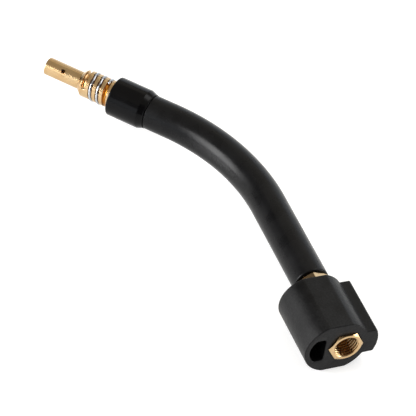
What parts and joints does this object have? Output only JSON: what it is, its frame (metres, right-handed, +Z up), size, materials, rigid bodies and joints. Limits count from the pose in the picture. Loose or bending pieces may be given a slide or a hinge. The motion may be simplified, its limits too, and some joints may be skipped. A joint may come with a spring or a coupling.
{
  "type": "welding torch neck",
  "caption": "Bent insulated neck of a gas-cooled welding torch, with a brass nozzle seat and tip holder at the front and a handle block with a threaded socket at the rear.",
  "frame": {"origin": "under the middle of the neck, on the plane of the handle block's lower flat, with the neck lying on its side", "axes": "+X along the rear run of the neck, out of the handle block's rear face; +Y towards the outer side of the bend, where the block's rib is; +Z up, square to the plane of the bend"},
  "size_m": [0.1926, 0.0797, 0.0242],
  "materials": {
    "turned_brass": "turned, bright",
    "drawn_copper": "drawn, dull",
    "spring_steel": "drawn wire, bright",
    "black_rubber": "extruded, satin",
    "black_phenolic": "pressed, half gloss",
    "glass_filled_nylon": "injection moulded, fine grain"
  },
  "bodies": {
    "root": {"tip_holder": "turned_brass", "nozzle_seat": "turned_brass", "nozzle_spring": "spring_steel", "front_sleeve": "black_phenolic", "conductor_tube": "drawn_copper", "cover_tube": "black_rubber", "clamp_nut": "turned_brass", "handle_block": "glass_filled_nylon", "rear_socket": "turned_brass"}
  },
  "joints": []
}
